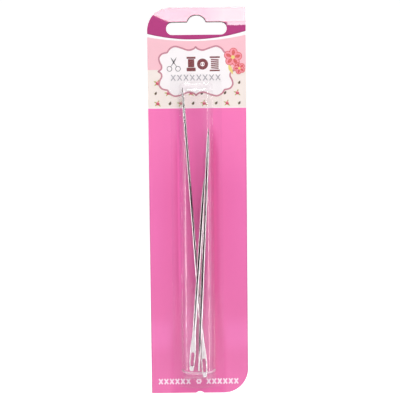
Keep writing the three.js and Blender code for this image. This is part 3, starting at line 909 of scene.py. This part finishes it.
def set_out(name, flat, layer, finish, start, columns, rows=1, pitch=1.0, row_height=1.0,
            drop=0.0, turn=0.0, change=0.0, reach=CARD_HALF):
    """A motif repeated over the board by the tree above, made a plain mesh."""
    def flat_spot(x, z, depth):
        return Vector((x * MM, -depth * MM, z * MM))
    motif = slab(name + "_motif", flat, INK[finish], layer, flat_spot)
    holder = in_scene(name + "_holder", bpy.data.meshes.new(name + "_holder"))
    modifier = holder.modifiers.new("set out", "NODES")
    modifier.node_group = REPEAT
    values = {
        "Motif": motif, "Columns": columns, "Rows": rows, "Pitch": pitch * MM,
        "Row height": row_height * MM, "Drop": drop * MM, "Start": spot(start[0], 0.0, start[1]),
        "Turn": radians(turn), "Change": change, "Reach": reach * MM, "Finish": INK[finish],
    }
    for socket in REPEAT.interface.items_tree:
        if socket.in_out == "INPUT" and socket.name in values:
            modifier[socket.identifier] = values[socket.name]
    bpy.context.view_layer.update()
    mesh = bpy.data.meshes.new_from_object(
        holder.evaluated_get(bpy.context.evaluated_depsgraph_get()))
    mesh.name = name
    bpy.data.objects.remove(holder)
    bpy.data.objects.remove(motif)
    piece = in_scene(name, mesh)
    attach(piece, "pack")


# Ditsy rosebuds on the cream band, in half-drop rows
leaves = Flat()
for x, z, angle, length in (
    (-0.3, 0.1, 168, 1.7), (-0.2, -0.5, 222, 1.5), (0.5, -0.5, 318, 1.6), (0.2, 0.5, 74, 1.3),
):
    leaf(leaves, x, z, angle, length, 0.7).raised()
rose = leaf(Flat(), -0.75, 0.25, -38, 2.1, 1.35).raised().fan(ring(0.45, -0.3, 0.62, 9))
blush = Flat().fan(ring(0.05, 0.45, 0.5, 9))
bud = leaf(Flat(), -0.6, -0.95, 58, 2.1, 1.2)
tip = leaf(Flat(), -0.3, -0.3, 168, 0.9, 0.5)
ROWS = dict(rows=3, pitch=11.95, row_height=5.25, reach=24.3, turn=14, change=0.08)
SPRIGS = dict(ROWS, start=(-20.4, 152.6), columns=4, drop=5.3)
BUDS = dict(ROWS, start=(-25.85, 152.6), columns=5, drop=4.6)
set_out("sprig_leaves", leaves, 1, "sprig_leaf_ink", **SPRIGS)
set_out("sprig_petals", rose, 1.5, "sprig_red_ink", **SPRIGS)
set_out("sprig_blushes", blush, 1.8, "sprig_rose_ink", **SPRIGS)
set_out("bud_leaves", tip, 1, "sprig_leaf_ink", **BUDS)
set_out("bud_hearts", bud, 1.4, "bud_ink", **BUDS)


def cross_stitch(x, z, half):
    return Flat().ribbon([(-x, -z), (x, z)], half).raised().ribbon([(-x, z), (x, -z)], half)


# Rows of cross stitches on the label and at the foot, with a small blossom between them
FOOT_AT = (DOME_MIDDLE, 6.2)
set_out("label_stitches", cross_stitch(1.1, 1.5, 0.24), 3, "grey_ink", (-12.2, 165.7), 8,
        pitch=3.3, turn=3)
for name, left in (("foot_stitches_left", -20.6), ("foot_stitches_right", 4.6)):
    set_out(name, cross_stitch(0.95, 1.4, 0.4), 1.4, "pale_pink_ink", (left, FOOT_AT[1]), 6,
            pitch=2.9, turn=2)
blossom = Flat()
for centre in ring(*FOOT_AT, 1.0, 6):
    blossom.fan(ring(*centre, 0.55, 10)).raised()
printed("foot_blossom", blossom, INK["pale_pink_ink"], 1.4)
# Painted shadow: a dark line along the bottom edge of the blister's flange
bow = [(DOME_MIDDLE + step / 10, 2.95 + 0.9 * (step / 105) ** 2) for step in range(-105, 106, 7)]
printed("lacquer_line", Flat().ribbon(bow, 0.24), INK["flange_shadow_ink"], 1)


# Blister

SIDE_STEPS = 72
END_STEPS = 12
CORNER_STEPS = 10


def blister_ring(half_width, half_height, corner, bow, depth):
    """A round-cornered rectangle round the dome's middle, whose ends bow outwards."""
    corners = []
    for quarter in range(4):
        right = 1 if quarter in (0, 3) else -1
        up = 1 if quarter < 2 else -1
        corners.append([(right * (half_width - corner) + corner * cos(angle),
                         up * (half_height - corner) + corner * sin(angle))
                        for angle in steps(quarter * pi / 2, (quarter + 1) * pi / 2, CORNER_STEPS)])
    points = []
    for quarter in range(4):
        start, end = corners[quarter][-1], corners[(quarter + 1) % 4][0]
        count = END_STEPS if quarter % 2 == 0 else SIDE_STEPS
        between = zip(steps(start[0], end[0], count), steps(start[1], end[1], count))
        points += corners[quarter] + list(between)[1:-1]
    placed = []
    for x, z in points:
        swell = bow * max(1 - (x / (half_width - corner)) ** 2, 0) if bow else 0
        placed.append((DOME_MIDDLE + x, depth, DOME_CENTRE + z + copysign(swell, z)))
    return placed


def dome_ring(inset, depth):
    """One level of the dome; its roof sags a little, more in some places."""
    half_width = DOME_HALF_WIDTH - inset
    share = inset / ROOF_CENTRE_INSET
    corner = mix(DOME_CORNER, ROOF_CORNER, share)
    if share > 1:
        corner = ROOF_CORNER * half_width / (DOME_HALF_WIDTH - ROOF_CENTRE_INSET)
    level = blister_ring(half_width, DOME_HALF_HEIGHT - inset, corner, 0, max(depth, FILM_LIFT))
    sagged = []
    for x, at, z in level:
        give = smooth(at, 1.5, DOME_DEPTH) * ROOF_SAG
        sag = give * (0.5 + noise.noise(Vector((x * 0.12, 3.7, z * 0.045))))
        sagged.append((x, at - max(sag, 0), z))
    return sagged


def dome_rings(offset):
    """Rings of the dome from its foot to the middle of its roof, and how far each is drawn."""
    rings = []
    foot = FOOT_RADIUS + FILM - offset
    roof = ROOF_RADIUS + offset
    for angle in steps(-pi / 2, -DRAFT, 6):
        rings.append((dome_ring(FOOT_CENTRE_INSET + foot * cos(angle),
                                FOOT_CENTRE_DEPTH + foot * sin(angle)), 0.5))
    for angle in steps(DRAFT, pi / 2, 14):
        rings.append((dome_ring(ROOF_CENTRE_INSET - roof * cos(angle),
                                ROOF_CENTRE_DEPTH + roof * sin(angle)),
                      0.4 + 0.6 * sin(2 * angle) ** 2))
    for inset in (4.75, 5.4, 6.2, 7.0, 7.75):
        rings.append((dome_ring(inset, DOME_DEPTH + offset), 0.05))
    return rings


def make_blister():
    half_width = DOME_HALF_WIDTH + FILM + FLANGE_SIDE
    half_height = DOME_HALF_HEIGHT + FILM + FLANGE_END - FLANGE_BOW
    edge = blister_ring(half_width, half_height, FLANGE_CORNER, FLANGE_BOW, FILM)
    outer = dome_rings(FILM)
    inner = dome_rings(0)

    def flange(foot, depth, shares):
        """Levels of the flange from a foot of the dome towards the edge."""
        return [([(mix(a[0], b[0], share), depth, mix(a[2], b[2], share))
                  for a, b in zip(foot[0], edge)], 0.1, 1) for share in shares]

    rings = [(level, drawn, 0) for level, drawn in reversed(outer)]
    rings += flange(outer[0], FILM, (0.08, 0.2, 0.35, 0.5, 0.65, 0.8, 0.92, 0.98))
    rings += [([(x, depth, z) for x, _, z in edge], 0.1, 1) for depth in (FILM - 0.05, FILM_LIFT)]
    rings += flange(inner[0], FILM_LIFT, (0.92, 0.5, 0.08))
    rings += [(level, drawn, 0) for level, drawn in inner]
    count = len(edge)
    points = [spot(*point) for level, _, _ in rings for point in level]
    marks = {"drawn": [float(drawn) for _, drawn, _ in rings for _ in edge],
             "sealed": [float(sealed) for _, _, sealed in rings for _ in edge]}
    faces = []
    for low in range(0, len(points) - count, count):
        faces += [[low + i, low + (i + 1) % count, low + count + (i + 1) % count, low + count + i]
                  for i in range(count)]
    top = CORNER_STEPS + END_STEPS // 2
    for low in (0, len(points) - count):
        for step in range(count // 2):
            corners = (top + step, top + step + 1, top - step - 1, top - step)
            faces.append(list(dict.fromkeys(low + corner % count for corner in corners)))
    piece = make_piece("clear_blister", points, faces, [CLEAR_FILM], sharp=70, marks=marks)
    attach(piece, "pack")
    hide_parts("blister")


make_blister()


# Bodkins

def bodkin_section(along, length, shank_diameter, waist_diameter):
    """Half width, half thickness and squareness at a distance from the heel."""
    waist = smooth(along, NECK_TOP, length * WAIST_SHARE)
    shank = mix(shank_diameter, waist_diameter, waist) / 2
    flat = 1 - smooth(along, HEAD_LENGTH - NECK_LENGTH / 4, NECK_TOP)
    swell = smooth(along, 0, (EYE_LOW + EYE_HIGH) / 2)
    head = mix(HEEL_WIDTH, HEAD_WIDTH, swell) / 2
    slender = cos(max(0, (along - length + POINT_LENGTH) / POINT_LENGTH) * pi / 2)
    shrink = 1.0
    if along < HEEL_ROUNDING:
        shrink = half_round(1, 1 - along / HEEL_ROUNDING)
    if along > length - POINT_RADIUS:
        shrink = half_round(1, (along - length + POINT_RADIUS) / POINT_RADIUS)
    wide = mix(POINT_RADIUS, mix(shank, head, flat), slender) * shrink
    thick = mix(POINT_RADIUS, mix(shank, HEAD_THICKNESS / 2, flat), slender) * shrink
    return wide, thick, mix(2, 3, flat)


def eye_opening(along):
    """Half width of the eye at a distance from the heel."""
    from_end = min(along - EYE_LOW, EYE_HIGH - along)
    return half_round(EYE_RADIUS, max(EYE_RADIUS - from_end, 0))


def from_eye(across, along):
    """Distance from the eye's outline, outside it."""
    nearest = min(max(along, EYE_LOW + EYE_RADIUS), EYE_HIGH - EYE_RADIUS)
    return hypot(across, along - nearest) - EYE_RADIUS


def half_section(along, gauge, gutter_level):
    """One side of a bodkin's section, from its front middle round to its back middle."""
    wide, thick, power = bodkin_section(along, *gauge)
    if wide <= 1e-6:
        return [(eye_opening(along), 0)] * 5 + [(0, 0)] * 12
    opening = eye_opening(along)
    fillet = min(EYE_FILLET, 0.3 * wide)
    rows = [opening + fillet * share for share in (0.0, 0.1, 0.3, 0.6, 1.0)]
    turn = acos(min((rows[-1] / wide) ** (power / 2), 1))
    rows += [wide * max(cos(turn * share), 0) ** (2 / power) for share in steps(1, 0, 12)[1:]]
    front = []
    for x in rows:
        y = thick * max(1 - min(x / wide, 1) ** power, 0) ** (1 / power)
        gap = from_eye(x, along)
        if gap < EYE_FILLET:
            y -= EYE_FILLET - half_round(EYE_FILLET, EYE_FILLET - max(gap, 0))
        radius = GUTTER_HALF * half_round(1, (along - EYE_HIGH) / GUTTER_LENGTH)
        if x < radius:
            y = min(y, gutter_level - half_round(radius, x))
        front.append((x, max(y, 0)))
    return front


def bodkin_rows(length):
    """Where along a bodkin its sections lie, closer where its form changes."""
    quarter = [turn * pi / 2 for turn in steps(0, 1, 9)]
    rows = [HEEL_ROUNDING * (1 - cos(turn)) for turn in steps(0, pi / 2, 12)]
    rows += steps(HEEL_ROUNDING, EYE_LOW - EYE_FILLET, 8)
    for end, way in ((EYE_LOW, 1), (EYE_HIGH, -1)):
        rows += [end - way * EYE_FILLET * share for share in (0.6, 0.3, 0.1)]
        rows += [end + way * EYE_RADIUS * (1 - cos(turn)) for turn in quarter]
    rows += steps(EYE_LOW + EYE_RADIUS, EYE_HIGH - EYE_RADIUS, 16)
    rows += steps(EYE_HIGH + EYE_FILLET, NECK_TOP, 44)
    rows += steps(NECK_TOP, length - POINT_LENGTH, 36)
    rows += steps(length - POINT_LENGTH, length - POINT_RADIUS, 30)
    rows += [length - POINT_RADIUS * (1 - sin(turn)) for turn in steps(0, pi / 2, 8)]
    return spaced(rows, 1e-4)


def make_bodkin(name):
    length, shank, waist, heel, point, roll = BODKINS[name]
    gauge = (length, shank, waist)
    gutter_middle = bodkin_section(EYE_HIGH + GUTTER_LENGTH / 2, *gauge)[1]
    gutter_level = gutter_middle + GUTTER_HALF - GUTTER_DEPTH
    axis = (spot(*point) - spot(*heel)).normalized()
    back = axis.cross(Vector((1, 0, 0))).normalized()
    turn = Matrix((back.cross(axis), back, axis)).transposed()
    turn @= Matrix.Rotation(radians(roll), 3, "Z")
    points, faces, rows = [], [], bodkin_rows(length)
    for along in rows:
        front = half_section(along, gauge, gutter_level)
        loop = [(x, -y) for x, y in front] + [(x, y) for x, y in reversed(front[:-1])]
        loop.append((loop[0][0], 0.0))
        for side in (1, -1):
            points += [spot(*heel) + turn @ Vector((side * x, y, along)) * MM for x, y in loop]
    count = len(points) // len(rows) // 2
    for number in range(len(rows) - 1):
        open_here = eye_opening(rows[number]) > 0 or eye_opening(rows[number + 1]) > 0
        for side in (0, 1):
            low = (2 * number + side) * count
            high = low + 2 * count
            for step in range(count if open_here else count - 2):
                after = (step + 1) % count
                faces.append([low + step, low + after, high + after, high + step])
    piece = make_piece("polished_" + name + "_bodkin", points, faces, [STEEL], sharp=60)
    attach(piece, name)
    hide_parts(name + "_bodkin")


for name in BODKINS:
    make_bodkin(name)


# Stage, light and camera

def stage_material():
    """Matt white paper, which the camera and the mirrors see as plain white where it is lit."""
    material, nodes, _ = new_material("studio_paper")
    path = nodes.add("ShaderNodeLightPath").outputs
    mirrored = nodes.math("MAXIMUM", path["Is Glossy Ray"], path["Is Transmission Ray"])
    seen = nodes.times_plus(mirrored, 0.3, nodes.times(path["Is Camera Ray"], 0.86))
    paper = nodes.add("ShaderNodeBsdfDiffuse", {"Color": (0.72, 0.72, 0.72, 1.0)})
    glow = nodes.add("ShaderNodeEmission", {"Color": WHITE, "Strength": seen})
    nodes.show(nodes.add("ShaderNodeAddShader", {0: paper, 1: glow}))
    return material


# A sheet of paper that lies below the object and bends up far behind it, in metres
FLOOR_Z = -0.30
FLOOR_FRONT = -0.9
FLOOR_BACK = 1.6
FLOOR_HALF = 1.8
WALL_TOP = 1.6
BEND = 0.35
sweep = [(FLOOR_FRONT, FLOOR_Z)]
sweep += [(FLOOR_BACK + BEND * sin(turn), FLOOR_Z + BEND * (1 - cos(turn)))
          for turn in steps(0, pi / 2, 9)]
sweep += [(FLOOR_BACK + BEND, WALL_TOP)]
points = [(x, y, z) for y, z in sweep for x in (-FLOOR_HALF, FLOOR_HALF)]
faces = [[2 * i, 2 * i + 1, 2 * i + 3, 2 * i + 2] for i in range(len(sweep) - 1)]
make_piece("studio_sweep", points, faces, [stage_material()])


def light_world():
    """White to the camera; otherwise bright behind the object and dim round the camera."""
    world = bpy.data.worlds.new("studio")
    bpy.context.scene.world = world
    world.use_nodes = True
    world.node_tree.nodes.clear()
    nodes = Nodes(world.node_tree)
    back = nodes.split(nodes.add("ShaderNodeTexCoord").outputs["Generated"])[1]
    room = nodes.range(back, -0.25, 0.2, 0.02, 0.95, SOFT)
    level = nodes.math("MAXIMUM", room, nodes.add("ShaderNodeLightPath").outputs["Is Camera Ray"])
    nodes.show(nodes.add("ShaderNodeBackground", {"Color": WHITE, "Strength": level}),
               "ShaderNodeOutputWorld")


def lamp(name, target_z, azimuth, elevation, distance, width, height, radiance):
    """A softbox that faces its target, from an azimuth to the right of the front and an elevation."""
    data = bpy.data.lights.new(name, "AREA")
    data.shape = "RECTANGLE"
    data.size, data.size_y = width, height
    data.energy = radiance * pi * width * height
    softbox = in_scene(name, data)
    a, e = radians(azimuth), radians(elevation)
    away = Vector((sin(a) * cos(e), -cos(a) * cos(e), sin(e)))
    softbox.location = Vector((0, 0, target_z)) + away * distance
    softbox.rotation_mode = "QUATERNION"
    softbox.rotation_quaternion = away.to_track_quat("Z", "Y")


light_world()
lamp("overhead_key", 0, 8, 44, 0.95, 0.75, 0.22, 18.8)
lamp("left_softbox", -0.14, -75, 0, 0.45, 0.07, 0.31, 6.6)
lamp("right_softbox", -0.14, 63, 0, 0.45, 0.07, 0.31, 6.6)
lamp("foot_softbox", -0.187, 0, -40, 0.14, 0.026, 0.03, 2.6)

# The camera looks at the middle of the card, which the photograph has a little below its centre
VIEW_PIXELS = 400
SENSOR_WIDTH = 36
AIM_Z = -0.09855
EYE_DISTANCE = 0.784
EYE_ELEVATION = radians(6)
LENS_PIXELS = 1505.7
ASIDE_PIXELS = 1.8
BELOW_PIXELS = 6.14
LEAN = radians(-0.6)
view_data = bpy.data.cameras.new("camera")
view_data.sensor_width = SENSOR_WIDTH
view_data.lens = LENS_PIXELS / VIEW_PIXELS * SENSOR_WIDTH
camera = in_scene("camera", view_data)
aim = Vector((0, FACE_Y * MM, AIM_Z))
away = Vector((0, -cos(EYE_ELEVATION), sin(EYE_ELEVATION)))
camera.matrix_world = (
    Matrix.Translation(aim + away * EYE_DISTANCE)
    @ away.to_track_quat("Z", "Y").to_matrix().to_4x4()
    @ Matrix.Rotation(LEAN, 4, "Z")
    @ Matrix.Rotation(-ASIDE_PIXELS / LENS_PIXELS, 4, "Y")
    @ Matrix.Rotation(BELOW_PIXELS / LENS_PIXELS, 4, "X")
)
bpy.context.scene.camera = camera
bpy.context.scene.view_settings.view_transform = "Standard"
